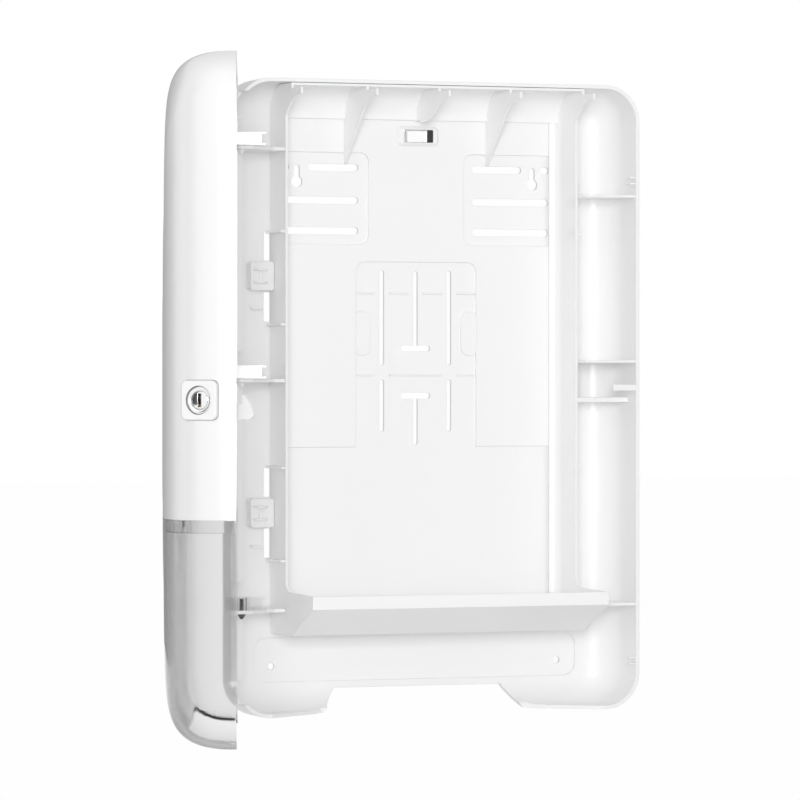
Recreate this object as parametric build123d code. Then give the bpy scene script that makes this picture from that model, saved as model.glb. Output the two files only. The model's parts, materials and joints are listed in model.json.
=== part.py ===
from build123d import *
import math
import os

# Multifold towel dispenser with its cover swung open.
# Millimetres, +Z up, the wall is the plane Y = 0 and the front faces -Y.
# The origin is the middle of the face that lies on the wall.
# Every depth below is measured from the wall towards the front.

# Overall size
WIDTH = 302.0
HEIGHT = 441.0
DEPTH = 100.5
RIM_DEPTH = 52.0
CORNER_RADIUS = 26.0
OPEN_ANGLE = 109.0

# Housing, with how far a cut runs past a face and how far joined forms overlap
WALL = 2.5
BACK_EDGE_RADIUS = 24.0
COVE_RADIUS = 22.5
PANEL_DEPTH = 4.7
PANEL_THICKNESS = 2.5
RECESS = 2.2
WALL_RING = 9.0
RIB = 2.0
SEAT_GAP = 0.3
PAST = 1.0
JOIN = 0.5

# Recesses of the back panel
PAD_INNER_X = 36.0
PAD_WIDTH = 70.0
PAD_TOP = 172.1
PAD_BOTTOM = 107.6
PAD_CORNER = 6.0
COLUMN_HALF_WIDTH = 45.5
COLUMN_TOP = 95.5
SIDE_COLUMN_BOTTOM = -34.9
SIDE_COLUMN_INSET = 3.5
COLUMN_CORNER = 7.0
PANEL_FOOT = -160.0
LOWER_PANEL_HALF_WIDTH = 121.5
LOWER_PANEL_TOP = -168.0
LOWER_PANEL_BOTTOM = -198.9
LOWER_PANEL_CORNER = 9.0

# Slots, keyholes and screw holes
PAD_SLOT_HEIGHT = 5.0
PAD_SLOT_INNER_X = 43.0
PAD_SLOT_OUTER_X = 101.5
PAD_SLOT_Z = [138.5, 117.0]
SHORT_SLOT_OUTER_X = 80.8
SHORT_SLOT_Z = 161.5
SIDE_SLOT_X = 98.3
SIDE_SLOT_WIDTH = 7.0
KEYHOLE_X = 89.0
KEYHOLE_Z = 151.3
KEYHOLE_RADIUS = 4.2
KEYHOLE_SLOT = 4.4
KEYHOLE_RISE = 12.0
SCREW_HOLE_X = 108.0
SCREW_HOLE_Z = -187.9
SCREW_HOLE_RADIUS = 2.4
COLUMN_SLOT_WIDTH = 3.6
COLUMN_SLOT_X = 25.4
COLUMN_SLOTS = [(22.7, 89.6), (-24.2, 12.4)]
T_BAR_WIDTH = 22.5
T_BAR_HEIGHT = 4.2
T_UPPER = (32.4, 88.9)
T_LOWER = (-33.6, 3.1)

# Raised marks on the centre column
MARK_HEIGHT = 1.3
MARK_RISE = 1.4
MARK_ROWS = [(73.5, [(31.3, 45.0), (5.5, 20.0)]), (15.7, [(31.3, 45.0), (0.0, 20.0)])]
TAB_SIZE = (13.0, 31.0)
TAB_X = 40.6
TAB_Z = 45.1

# Level window
LEVEL_X = 1.0
LEVEL_Z = 184.4
LEVEL_FRAME = (31.0, 13.6)
LEVEL_POCKET = (21.8, 9.0)
LEVEL_LEDGE = 3.2
LEVEL_RISE = 2.2
LEVEL_CAP_LENGTH = 4.4
LEVEL_FIT = 0.1
LEVEL_CORNER = 0.8
LEVEL_FRAME_CORNER = 3.0
LEVEL_FRAME_EDGE = 0.4
LEVEL_VIAL_SUNK = 0.6

# Bottom notch where the towels hang out
NOTCH_PANEL_HALF = 63.0
NOTCH_PANEL_Z = -203.7
NOTCH_FLOOR_HALF = 77.0
NOTCH_FLOOR_DEPTH = 19.0
NOTCH_RIM_HALF = 127.0

# Towel chute
CHUTE_HALF_WIDTH = 109.7
CHUTE_WALL = 1.8
CHUTE_DEPTH = 33.0
CHUTE_FOOT = -164.2
CHUTE_FLANGE = 7.0
GUSSET_SPACING = 53.6
GUSSET_REACH = 64.5
GUSSET_TOP = 213.6
GUSSET_NOSE = 4.6
GUSSET_TAIL = 164.1
GUSSET_CURVE = [(50.0, 6.4), (41.0, 11.0)]
GUSSET_FOOT = 0.4
CENTRE_GUSSET_ROOT = 6.0
CHUTE_FLANGE_THICKNESS = 0.8
FIN_Z = [115.3, 50.8, -48.5, -113.2]
FIN_REACH = 3.2
FIN_THICKNESS = 1.6
GUTTER_RIB_Z = [62.2, -104.0]
GUTTER_RIB_X = (-124.6, -116.3)
GUTTER_RIB_HEIGHT = 4.5

# Dispensing tray at the foot of the chute
TRAY_REACH = 89.0
TRAY_LIP_TOP = -135.5
TRAY_LIP_HEIGHT = 9.0
TRAY_FLOOR_FRONT = 46.0
TRAY_FLOOR_BACK = 23.0
TRAY_BACK_TOP = -146.0
TRAY_WALL = 2.0
CHEEK_TURN_Z = -125.5
CHEEK_BEND = 9.0
OUTLET_WIDTH = 164.0
OUTLET_DEPTH = 18.0
OUTLET_CORNER = 5.0
TRAY_FOLD = 0.8

# Shelves and ribs between the chute and the housing walls
HINGE_Z = [173.4, 13.0, -146.1]
SHELF_THICKNESS = 2.4
RIGHT_RIB_Z = [142.3, 25.3, -146.6]
CATCH_Z = [153.4, -186.6]
CATCH_SPACING = 4.4
CATCH_THICKNESS = 1.2
CATCH_LENGTH = 4.5
CATCH_DEPTH = 7.0

# Hinge
PIN_RADIUS = 1.5
PIN_RUNNING_FIT = 0.06
PIN_HELD_FIT = 0.02
KNUCKLE_RADIUS = 3.65
HINGE_BEHIND_RIM = 2.8
HINGE_INSIDE = 5.2
ARM_HEIGHT = 9.0
ARM_TAIL = 17.0
ARM_WIDTH = 4.4
ARM_FLANGE = 1.4
ARM_MOUTH = 3.0
ARM_TAIL_OFFSET = 0.7
ARM_ROOT = 12.0
ARM_GAP = 0.3
RIM_SETBACK = 11.2
RIM_FLANGE = 9.0
SETBACK_END = 9.5
ARM_NOTCH_RISE = 10.0
EDGE_NOTCH = 5.0
PIN_TIP = 3.2
PIN_TIP_RADIUS = 2.9
PIN_TIP_END = 0.9

# Chute clips in the left gutter
CLIP_Z = [84.6, -80.4]
CLIP_WIDTH = 17.0
CLIP_HEIGHT = 20.0
CLIP_DEPTH = 9.6
CLIP_SLOT_HEIGHT = 20.5
CLIP_SLOT_WIDTH = 5.0
CLIP_FLANGE_RADIUS = 5.0
CLIP_FLANGE_THICKNESS = 1.4
CLIP_STEM_RADIUS = 1.2
CLIP_SPOOL_HEIGHT = 10.0
CLIP_SPOOL_OFFSET = 1.5
CLIP_CORNER = 2.0
CLIP_SLOT_GAP = 1.0
CLIP_SLOT_CORNER = 0.6

# Cover
COVER_DEPTH = DEPTH - RIM_DEPTH
CROWN_RISE = 2.5
CROWN_REACH = 150.0
CROWN_ROOT = 2.5
CROWN_STEPS = 13
CROWN_CORNER_GROWTH = 0.1
CROWN_CORNER_SHARE = 0.8
END_ROUNDING = 12.0
SIDE_ROUNDING = 21.8
SIDE_SHARE = 0.73
SIDE_FADE = 50.0
SPLIT_Z = -75.4
LAP = 8.0
LAP_WALL = 1.8
MOUTH_HALF_WIDTH = 104.0
MOUTH_REACH = 34.0
MOUTH_CORNER = 14.0

# Lock on the free side of the cover
LOCK_DEPTH = 23.5
LOCK_TILT = 28.0
LOCK_Z = 0.0
BEZEL_SIZE = 25.0
BEZEL_CORNER = 4.0
BEZEL_PROUD = 0.9
BEZEL_THICKNESS = 3.4
BEZEL_EDGE = 0.6
BEZEL_HOLE_FIT = 0.1
BOSS_SIZE = 31.0
BOSS_DEPTH = 13.0
BARREL_RADIUS = 8.0
BARREL_FLANGE_RADIUS = 9.0
BARREL_FLANGE = 1.8
BARREL_LENGTH = 18.0
BARREL_FIT = 0.05
PLUG_RADIUS = 6.0
PLUG_FIT = 0.06
PLUG_SHOULDER = 1.6
PLUG_END_GAP = 0.3
PLUG_SUNK = 0.2
KEYWAY_END = 4.0
KEYWAY = (2.4, 8.6)
CAM_THICKNESS = 3.0
CAM_HUB_RADIUS = 8.0
CAM_SQUARE = 6.0
CAM_REACH = 28.2
CAM_HOOK_TOP = 3.6
CAM_FOOT = -12.2
CAM_ROOT_X = -2.0
CAM_ROOT_HALF = 6.0
CAM_KNEE = (9.0, 1.0)
CAM_TOE_RADIUS = 5.5
CAM_TOE = (6.0, 2.8)
CAM_BACK_CURVE = [(2.0, -3.4), (5.0, 1.2)]
CAM_HOOK_TIP = 7.5
CAM_HOOK_INSIDE = 8.1
CAM_HOOK_BEVEL = 1.2
CAM_EDGE_Z = -2.4
CAM_EDGE_END = 17.2
CAM_SQUARE_FIT = 0.1
CAM_SCREW_RADIUS = 1.6
CAM_SCREW_HEAD = 3.6
CAM_SCREW_HEAD_HEIGHT = 2.0
CAM_SCREW_FIT = 0.05
CAM_SCREW_LENGTH = 4.5
CAM_SCREW_HOLE = 6.0
CAM_SCREW_SLOT = (1.0, 10.0, 0.9)
NUT_ACROSS_FLATS = 21.0
NUT_THICKNESS = 3.0
KEEPER_FOOT = 4.6
KEEPER_HEIGHT = 4.4
KEEPER_GAP = 0.4
STOP_RIB = 3.4
STOP_RIB_BELOW = 0.2
KEEPER_INNER_X = 131.0
WAFER_COUNT = 4
WAFER_THICKNESS = 0.8
WAFER_PITCH = 2.6
WAFER_SIZE = (4.6, 10.2)
WAFER_FIT = 0.1
FIRST_WAFER = 4.5
WAFER_WINDOW_RISE = 0.6
WAFER_WINDOW_SHORT = 2.4

# Values worked out from those above
HALF_WIDTH = WIDTH / 2
HALF_HEIGHT = HEIGHT / 2
INNER_X = HALF_WIDTH - WALL
FOLD_Z = HALF_HEIGHT - WALL - COVE_RADIUS
RECESS_DEPTH = PANEL_DEPTH - RECESS
HINGE_X = -HALF_WIDTH + HINGE_INSIDE
HINGE_DEPTH = RIM_DEPTH - HINGE_BEHIND_RIM
HINGE_AXIS = Axis((HINGE_X, -HINGE_DEPTH, 0), (0, 0, 1))
CHUTE_FRONT = PANEL_DEPTH + CHUTE_DEPTH
TRAY_FRONT = PANEL_DEPTH + TRAY_REACH
TRAY_LIP_FOOT = TRAY_LIP_TOP - TRAY_LIP_HEIGHT
THROUGH_PANEL = (-PAST, PANEL_DEPTH + PAST)
BEZEL_SEAT = BEZEL_THICKNESS - BEZEL_PROUD
CAM_BACK = BARREL_LENGTH + PLUG_SHOULDER + CAM_THICKNESS


# Helpers

def at_depth(depth):
    """Plane parallel to the wall, seen from the front: local x is +X, local y is +Z."""
    return Plane.XZ.offset(depth)


def block(x_range, depth_range, z_range):
    """Box between two X values, two depths and two heights."""
    size = (x_range[1] - x_range[0], depth_range[1] - depth_range[0], z_range[1] - z_range[0])
    middle = (sum(x_range) / 2, -sum(depth_range) / 2, sum(z_range) / 2)
    return Pos(*middle) * Box(*size)


def plate(centre, size, corner, depth_range):
    """Rounded rectangle parallel to the wall, between two depths."""
    outline = Pos(centre[0], centre[1]) * RectangleRounded(size[0], size[1], corner)
    return extrude(at_depth(depth_range[0]) * outline, depth_range[1] - depth_range[0])


def rounded_block(x_range, z_range, corner, depth_range):
    """Rounded rectangle given by its edges."""
    centre = (sum(x_range) / 2, sum(z_range) / 2)
    size = (x_range[1] - x_range[0], z_range[1] - z_range[0])
    return plate(centre, size, corner, depth_range)


def slot(x_range, z_range, depth_range):
    """Slot with round ends along its longer side."""
    width = x_range[1] - x_range[0]
    height = z_range[1] - z_range[0]
    corner = min(width, height) / 2 - 0.05
    return rounded_block(x_range, z_range, corner, depth_range)


def side_profile(points, x_range):
    """Polygon of (depth, height) points pushed along X."""
    outline = make_face(Polyline(*[(-depth, height) for depth, height in points], close=True))
    return extrude(Plane.YZ.offset(x_range[0]) * outline, x_range[1] - x_range[0])


def both_sides(part):
    """The part and its mirror image in the plane X = 0."""
    return part + mirror(part, Plane.YZ)


def post(centre, radius, z_range):
    """Upright cylinder at an X and a depth."""
    height = z_range[1] - z_range[0]
    return Pos(centre[0], -centre[1], z_range[0]) * Cylinder(
        radius, height, align=(Align.CENTER, Align.CENTER, Align.MIN)
    )


def swung_open(part):
    """Turn a piece of the closed cover about the hinge to where it stands open."""
    return part.rotate(HINGE_AXIS, -OPEN_ANGLE)


# Rear housing

def cavity(inset, front=RIM_DEPTH + 1):
    """Inside of the housing, drawn in by an inset."""
    width = WIDTH - 2 * (WALL + inset)
    height = HEIGHT - 2 * (WALL + inset)
    back = PANEL_DEPTH + inset
    body = plate((0, 0), (width, height), CORNER_RADIUS - WALL - inset, (back, front))
    return fillet(body.edges().group_by(Axis.Y)[-1], COVE_RADIUS - inset)


def housing_shell():
    """Dished back with walls, its hinge side set back for the swing of the cover."""
    body = plate((0, 0), (WIDTH, HEIGHT), CORNER_RADIUS, (0, RIM_DEPTH))
    body = fillet(body.edges().group_by(Axis.Y)[-1], BACK_EDGE_RADIUS)
    body -= cavity(0)
    setback = RIM_DEPTH - RIM_SETBACK
    body -= block(
        (-HALF_WIDTH - 1, HINGE_X + EDGE_NOTCH + HINGE_INSIDE),
        (setback, RIM_DEPTH + 1),
        (SETBACK_END - HALF_HEIGHT, HALF_HEIGHT - SETBACK_END),
    )
    flange_half = HALF_HEIGHT - CORNER_RADIUS
    flange = block(
        (-HALF_WIDTH + WALL / 2, -HALF_WIDTH + RIM_FLANGE),
        (setback - RIB, setback),
        (-flange_half, flange_half),
    )
    return body + flange


def back_relief():
    """Hollow behind the panel, so that only the pads and the outer ring lie on the wall."""
    ring = BACK_EDGE_RADIUS + WALL_RING
    depth = (-1, PANEL_DEPTH - PANEL_THICKNESS)
    hollow = plate((0, 0), (WIDTH - 2 * ring, HEIGHT - 2 * ring), COLUMN_CORNER, depth)
    for pad in recess_outlines(RIB):
        hollow -= pad
    return hollow


def recess_outlines(grow, depth_range=(-2, PANEL_DEPTH + 1)):
    """Upper pads, centre column, foot and lower panel, grown by a margin."""
    pads = []
    for side in (-1, 1):
        inner = PAD_INNER_X - grow
        outer = PAD_INNER_X + PAD_WIDTH + grow
        x_range = sorted((side * inner, side * outer))
        pads.append(rounded_block(x_range, (PAD_BOTTOM - grow, PAD_TOP + grow), PAD_CORNER, depth_range))
    column = COLUMN_HALF_WIDTH + grow
    overlap = 2 * COLUMN_CORNER
    pads.append(rounded_block(
        (-column, column), (SIDE_COLUMN_BOTTOM - overlap, COLUMN_TOP + grow), COLUMN_CORNER, depth_range
    ))
    foot = CHUTE_HALF_WIDTH - SIDE_COLUMN_INSET + grow
    pads.append(rounded_block(
        (-foot, foot), (PANEL_FOOT - grow, SIDE_COLUMN_BOTTOM + grow), COLUMN_CORNER, depth_range
    ))
    lower = LOWER_PANEL_HALF_WIDTH + grow
    pads.append(rounded_block(
        (-lower, lower), (LOWER_PANEL_BOTTOM - grow, LOWER_PANEL_TOP + grow), LOWER_PANEL_CORNER, depth_range
    ))
    return pads


def round_hole(x, z, radius):
    """Round hole through the panel."""
    depth = THROUGH_PANEL[1] - THROUGH_PANEL[0]
    return extrude(at_depth(THROUGH_PANEL[0]) * Pos(x, z) * Circle(radius), depth)


def keyhole():
    """Round hole with a narrower slot above it, through the panel."""
    hole = round_hole(KEYHOLE_X, KEYHOLE_Z, KEYHOLE_RADIUS)
    neck = slot(
        (KEYHOLE_X - KEYHOLE_SLOT / 2, KEYHOLE_X + KEYHOLE_SLOT / 2),
        (KEYHOLE_Z, KEYHOLE_Z + KEYHOLE_RISE),
        THROUGH_PANEL,
    )
    return hole + neck


def panel_openings():
    """Every slot, keyhole and screw hole that goes through the back panel."""
    through = THROUGH_PANEL
    half = PAD_SLOT_HEIGHT / 2
    cuts = keyhole()
    for z in PAD_SLOT_Z:
        cuts += slot((PAD_SLOT_INNER_X, PAD_SLOT_OUTER_X), (z - half, z + half), through)
    cuts += slot((PAD_SLOT_INNER_X, SHORT_SLOT_OUTER_X), (SHORT_SLOT_Z - half, SHORT_SLOT_Z + half), through)
    side = SIDE_SLOT_WIDTH / 2
    cuts += slot((SIDE_SLOT_X - side, SIDE_SLOT_X + side), (SHORT_SLOT_Z - half, SHORT_SLOT_Z + half), through)
    for z_range in COLUMN_SLOTS:
        width = COLUMN_SLOT_WIDTH / 2
        cuts += slot((COLUMN_SLOT_X - width, COLUMN_SLOT_X + width), z_range, through)
    cuts += round_hole(SCREW_HOLE_X, SCREW_HOLE_Z, SCREW_HOLE_RADIUS)
    cuts = both_sides(cuts)
    cuts += t_slot(T_UPPER[0], T_UPPER[1], bar_at_top=False)
    cuts += t_slot(T_LOWER[0], T_LOWER[1], bar_at_top=True)
    return cuts


def t_slot(bottom, top, bar_at_top):
    """T-shaped slot on the centre line."""
    half = COLUMN_SLOT_WIDTH / 2
    stem = slot((-half, half), (bottom, top), THROUGH_PANEL)
    bar_foot = top - T_BAR_HEIGHT if bar_at_top else bottom
    bar = slot((-T_BAR_WIDTH / 2, T_BAR_WIDTH / 2), (bar_foot, bar_foot + T_BAR_HEIGHT), THROUGH_PANEL)
    return stem + bar


def panel_marks():
    """Short raised bars and side tabs on the centre column."""
    depth = (RECESS_DEPTH - JOIN, RECESS_DEPTH + MARK_RISE)
    marks = []
    for z, spans in MARK_ROWS:
        for inner, outer in spans:
            for side in (-1, 1):
                x_range = sorted((side * inner, side * outer))
                marks.append(block(x_range, depth, (z - MARK_HEIGHT / 2, z + MARK_HEIGHT / 2)))
    for side in (-1, 1):
        marks.append(plate((side * TAB_X, TAB_Z), TAB_SIZE, PAD_CORNER, depth))
    return marks


def level_cut():
    """Pocket for the level, open through the panel between two ledges."""
    pocket = plate((LEVEL_X, LEVEL_Z), LEVEL_POCKET, LEVEL_CORNER, (RECESS_DEPTH, PANEL_DEPTH + LEVEL_RISE + PAST))
    window = (LEVEL_POCKET[0] - 2 * LEVEL_LEDGE, LEVEL_POCKET[1] - 2 * LEVEL_VIAL_SUNK)
    return pocket + plate((LEVEL_X, LEVEL_Z), window, LEVEL_CORNER, (-PAST, PANEL_DEPTH))


def level_frame():
    """Bevelled frame round the level pocket."""
    depth = (PANEL_DEPTH - PANEL_THICKNESS, PANEL_DEPTH + LEVEL_RISE)
    foot = plate((LEVEL_X, LEVEL_Z), LEVEL_FRAME, LEVEL_FRAME_CORNER, depth)
    return chamfer(foot.edges().group_by(Axis.Y)[0], LEVEL_RISE - LEVEL_FRAME_EDGE)


def notch_cut():
    """Opening in the bottom of the housing, wider towards the rim."""
    deep = RIM_DEPTH + 2
    front = make_face(Polyline(
        (-NOTCH_PANEL_HALF, NOTCH_PANEL_Z),
        (NOTCH_PANEL_HALF, NOTCH_PANEL_Z),
        (NOTCH_FLOOR_HALF, -HALF_HEIGHT - 2),
        (-NOTCH_FLOOR_HALF, -HALF_HEIGHT - 2),
        close=True,
    ))
    straight = extrude(at_depth(-1) * front, deep + 1)
    flare = make_face(Polyline(
        (-NOTCH_FLOOR_HALF, -NOTCH_FLOOR_DEPTH),
        (-NOTCH_RIM_HALF, -deep),
        (NOTCH_RIM_HALF, -deep),
        (NOTCH_FLOOR_HALF, -NOTCH_FLOOR_DEPTH),
        close=True,
    ))
    foot = -HALF_HEIGHT - 2
    swept = extrude(Plane.XY.offset(foot) * flare, COVE_RADIUS)
    return straight + swept


def hinge_shelf(top):
    """Shelf across the left gutter with the lower knuckle of one hinge."""
    z_range = (top - SHELF_THICKNESS, top)
    inner = -CHUTE_HALF_WIDTH - SEAT_GAP
    shelf = block((-INNER_X - WALL / 2, inner), (PANEL_DEPTH - 1, CHUTE_FRONT - SEAT_GAP), z_range)
    neck_front = HINGE_DEPTH + KNUCKLE_RADIUS
    neck = make_face(Polyline(
        (HINGE_X, -neck_front),
        (HINGE_X + 2 * KNUCKLE_RADIUS, -neck_front),
        (inner - 2 * KNUCKLE_RADIUS, -CHUTE_FRONT + 1),
        (HINGE_X, -CHUTE_FRONT + 1),
        close=True,
    ))
    shelf += extrude(Plane.XY.offset(z_range[0]) * neck, SHELF_THICKNESS)
    shelf += post((HINGE_X, HINGE_DEPTH), KNUCKLE_RADIUS, z_range)
    shelf = shelf & housing_envelope()
    bore = post((HINGE_X, HINGE_DEPTH), PIN_RADIUS + PIN_RUNNING_FIT, (z_range[0] - 1, top + 1))
    return shelf - bore


def housing_envelope():
    """Solid that the housing's own ribs may fill: its outside, a little past the rim."""
    reach = RIM_DEPTH + KNUCKLE_RADIUS
    body = plate((0, 0), (WIDTH, HEIGHT), CORNER_RADIUS, (0, reach))
    return fillet(body.edges().group_by(Axis.Y)[-1], BACK_EDGE_RADIUS)


def keeper(outer):
    """Bar near the rim that the hook of the lock's cam goes behind."""
    front = RIM_DEPTH - KEEPER_GAP
    foot = LOCK_Z + KEEPER_FOOT
    return block((KEEPER_INNER_X, outer), (front - RIB, front), (foot, foot + KEEPER_HEIGHT))


def right_ribs():
    """Cross ribs of the right gutter, with the keeper and the catches of the cover."""
    inner = CHUTE_HALF_WIDTH + SEAT_GAP
    outer = INNER_X + WALL / 2
    ribs = []
    for z in RIGHT_RIB_Z:
        ribs.append(block((inner, outer), (PANEL_DEPTH - 1, RIM_DEPTH - 1), (z - RIB / 2, z + RIB / 2)))
    stop = (LOCK_Z - STOP_RIB_BELOW - STOP_RIB, LOCK_Z - STOP_RIB_BELOW)
    ribs.append(block((inner, outer), (PANEL_DEPTH - 1, CHUTE_FRONT - 1), stop))
    ribs.append(keeper(outer))
    for z in CATCH_Z:
        for side in (-1, 1):
            middle = z + side * CATCH_SPACING / 2
            half = CATCH_THICKNESS / 2
            front = RIM_DEPTH - PAST
            ribs.append(block(
                (INNER_X - CATCH_LENGTH, outer), (front - CATCH_DEPTH, front), (middle - half, middle + half)
            ))
    return [rib & housing_envelope() for rib in ribs]


def arm_notches():
    """Gaps in the rim flange that the hinge arms pass through and drop into."""
    notches = []
    for z in HINGE_Z:
        notches.append(block(
            (-INNER_X, -HALF_WIDTH + RIM_FLANGE + 1),
            (RIM_DEPTH - RIM_SETBACK - RIB - 1, RIM_DEPTH),
            (z, z + ARM_HEIGHT + ARM_NOTCH_RISE),
        ))
    return notches


def clip_slots():
    """Slots above and below each chute clip, through the floor of the left gutter."""
    cuts = []
    x_range = (-CHUTE_HALF_WIDTH + JOIN - CLIP_SLOT_WIDTH, -CHUTE_HALF_WIDTH + JOIN)
    for z in CLIP_Z:
        for side in (-1, 1):
            middle = z + side * (CLIP_HEIGHT / 2 + CLIP_SLOT_HEIGHT / 2 + CLIP_SLOT_GAP)
            z_range = (middle - CLIP_SLOT_HEIGHT / 2, middle + CLIP_SLOT_HEIGHT / 2)
            cuts.append(rounded_block(x_range, z_range, CLIP_SLOT_CORNER, THROUGH_PANEL))
    return cuts


def gutter_ribs():
    """Short ribs on the floor of the left gutter, one below each clip."""
    half = RIB / 2
    depth = (PANEL_DEPTH - JOIN, PANEL_DEPTH + GUTTER_RIB_HEIGHT)
    return [block(GUTTER_RIB_X, depth, (z - half, z + half)) for z in GUTTER_RIB_Z]


def rear_housing():
    """Whole wall housing."""
    body = housing_shell()
    body -= back_relief()
    for recess in recess_outlines(0, (RECESS_DEPTH, PANEL_DEPTH + 1)):
        body -= recess
    for mark in panel_marks():
        body += mark
    body -= notch_cut()
    body += level_frame()
    body -= level_cut()
    body -= panel_openings()
    for cut in clip_slots():
        body -= cut
    for cut in arm_notches():
        body -= cut
    for top in HINGE_Z:
        body += hinge_shelf(top)
    for rib in right_ribs() + gutter_ribs():
        body += rib
    return body


# Towel chute

def chute_space():
    """Room that the chute may fill inside the housing, carried on past the rim."""
    return cavity(SEAT_GAP, TRAY_FRONT + 10)


def hood():
    """Thin cove under the roof of the housing, between the outer gussets."""
    strip = cavity(SEAT_GAP) - cavity(SEAT_GAP + CHUTE_WALL)
    return strip & block(
        (-CHUTE_HALF_WIDTH, CHUTE_HALF_WIDTH), (PANEL_DEPTH, RIM_DEPTH - 2), (FOLD_Z, HALF_HEIGHT)
    )


def gusset(x, root_depth, tail_z):
    """Curved web under the hood whose nose reaches past the rim."""
    top = GUSSET_TOP
    nose = PANEL_DEPTH + GUSSET_REACH
    with BuildLine() as edge:
        Line((-nose, top), (-nose, top - GUSSET_NOSE))
        Spline(
            (-nose, top - GUSSET_NOSE),
            *[(-PANEL_DEPTH - reach, top - drop) for reach, drop in GUSSET_CURVE],
            (-PANEL_DEPTH - root_depth, FOLD_Z),
        )
        Line((-PANEL_DEPTH - root_depth, FOLD_Z), (-PANEL_DEPTH - GUSSET_FOOT, tail_z))
        Line((-PANEL_DEPTH - GUSSET_FOOT, tail_z), (-PANEL_DEPTH, HALF_HEIGHT))
        Line((-PANEL_DEPTH, HALF_HEIGHT), (-RIM_DEPTH + 2, HALF_HEIGHT))
        Line((-RIM_DEPTH + 2, HALF_HEIGHT), (-RIM_DEPTH + 2, top))
        Line((-RIM_DEPTH + 2, top), (-nose, top))
    web = extrude(Plane.YZ.offset(x - CHUTE_WALL / 2) * make_face(edge.line), CHUTE_WALL)
    return web & chute_space()


def side_wall():
    """Left wall of the chute with its cheek, which sweeps out to the tray's lip."""
    x_range = (-CHUTE_HALF_WIDTH, -CHUTE_HALF_WIDTH + CHUTE_WALL)
    seat = PANEL_DEPTH + SEAT_GAP
    wall = side_profile([
        (seat, FOLD_Z + 2),
        (CHUTE_FRONT, FOLD_Z + 2),
        (CHUTE_FRONT, CHEEK_TURN_Z - CHEEK_BEND),
        (TRAY_FRONT, TRAY_LIP_TOP),
        (TRAY_FRONT, TRAY_LIP_FOOT),
        (PANEL_DEPTH + TRAY_FLOOR_FRONT, CHUTE_FOOT),
        (seat, CHUTE_FOOT),
    ], x_range)
    inner_corner = wall.edges().filter_by(Axis.X).sort_by_distance(
        (-CHUTE_HALF_WIDTH, -CHUTE_FRONT, CHEEK_TURN_Z - CHEEK_BEND)
    )[0]
    return fillet(inner_corner, CHEEK_BEND)


def wall_flange():
    """Foot of the side wall on the panel, coved into the wall."""
    inner = -CHUTE_HALF_WIDTH + CHUTE_WALL
    seat = PANEL_DEPTH + SEAT_GAP
    foot = seat + CHUTE_FLANGE_THICKNESS
    corner = make_face(Polyline(
        (inner - JOIN, -seat),
        (inner + CHUTE_FLANGE, -seat),
        (inner + CHUTE_FLANGE, -foot),
        (inner, -foot - CHUTE_FLANGE),
        (inner - JOIN, -foot - CHUTE_FLANGE),
        close=True,
    ))
    height = FOLD_Z - TRAY_BACK_TOP
    solid = extrude(Plane.XY.offset(TRAY_BACK_TOP) * corner, height)
    scoop_z = (TRAY_BACK_TOP - PAST, FOLD_Z + PAST)
    scoop = post((inner + CHUTE_FLANGE, foot + CHUTE_FLANGE), CHUTE_FLANGE, scoop_z)
    return solid - scoop


def tray():
    """Trough with a lip in front and the outlet slot along its lowest line."""
    seat = PANEL_DEPTH + SEAT_GAP
    front = PANEL_DEPTH + TRAY_FLOOR_FRONT
    back = PANEL_DEPTH + TRAY_FLOOR_BACK
    trough = side_profile([
        (TRAY_FRONT, TRAY_LIP_TOP),
        (TRAY_FRONT, TRAY_LIP_FOOT),
        (front, CHUTE_FOOT),
        (back, CHUTE_FOOT),
        (seat, TRAY_BACK_TOP - TRAY_WALL),
        (seat, TRAY_BACK_TOP),
        (seat + TRAY_WALL, TRAY_BACK_TOP),
        (back + TRAY_FOLD, CHUTE_FOOT + TRAY_WALL),
        (front - TRAY_FOLD, CHUTE_FOOT + TRAY_WALL),
        (TRAY_FRONT - TRAY_WALL, TRAY_LIP_FOOT + TRAY_WALL),
        (TRAY_FRONT - TRAY_WALL, TRAY_LIP_TOP),
    ], (-CHUTE_HALF_WIDTH + JOIN, CHUTE_HALF_WIDTH - JOIN))
    middle = (front + back) / 2
    outline = Pos(0, -middle) * RectangleRounded(OUTLET_WIDTH, OUTLET_DEPTH, OUTLET_CORNER)
    outlet = extrude(Plane.XY.offset(CHUTE_FOOT - PAST) * outline, TRAY_WALL + 2 * PAST)
    return trough - outlet


def side_fins():
    """Small level fins on the outer face of the left wall."""
    depth = (PANEL_DEPTH + SEAT_GAP, CHUTE_FRONT - 1)
    x_range = (-CHUTE_HALF_WIDTH - FIN_REACH, -CHUTE_HALF_WIDTH + JOIN)
    return [block(x_range, depth, (z - FIN_THICKNESS / 2, z + FIN_THICKNESS / 2)) for z in FIN_Z]


def towel_chute():
    """Insert that holds the towels: hood, gussets, walls and tray in one moulding."""
    left = side_wall() + wall_flange()
    for fin in side_fins():
        left += fin
    left += gusset(-CHUTE_HALF_WIDTH + CHUTE_WALL / 2, CHUTE_DEPTH, FOLD_Z - 1)
    left += gusset(-GUSSET_SPACING, CHUTE_DEPTH, GUSSET_TAIL)
    body = both_sides(left)
    body += gusset(0, CENTRE_GUSSET_ROOT, FOLD_Z - 1)
    body += hood()
    body += tray()
    return body


# Chute clips

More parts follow.
